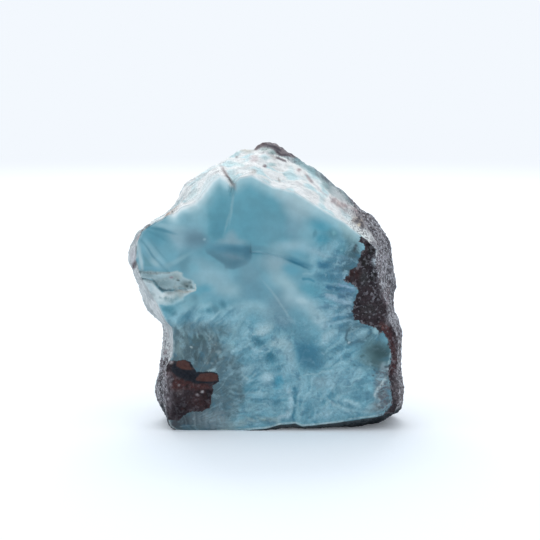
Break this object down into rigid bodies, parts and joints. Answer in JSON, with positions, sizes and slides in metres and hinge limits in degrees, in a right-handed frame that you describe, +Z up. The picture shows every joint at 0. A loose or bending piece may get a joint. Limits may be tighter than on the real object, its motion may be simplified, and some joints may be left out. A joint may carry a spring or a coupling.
{
  "type": "rough larimar stone",
  "caption": "Hand-sized chunk of larimar that stands on a flat base: a worn blue face with milky clouds, rough chalky sides and the dark basalt it grew in.",
  "frame": {"origin": "under the middle of the stone's box, on the surface it stands on", "axes": "+Z up, -Y out of the worn blue face, +X to the right as the face is looked at"},
  "size_m": [0.0784, 0.0472, 0.08],
  "materials": {
    "larimar": "worn, nearly polished blue face with milky clouds; chalky white and pitted brown basalt on the rough sides"
  },
  "bodies": {
    "root": {"larimar_stone": "larimar"}
  },
  "joints": []
}
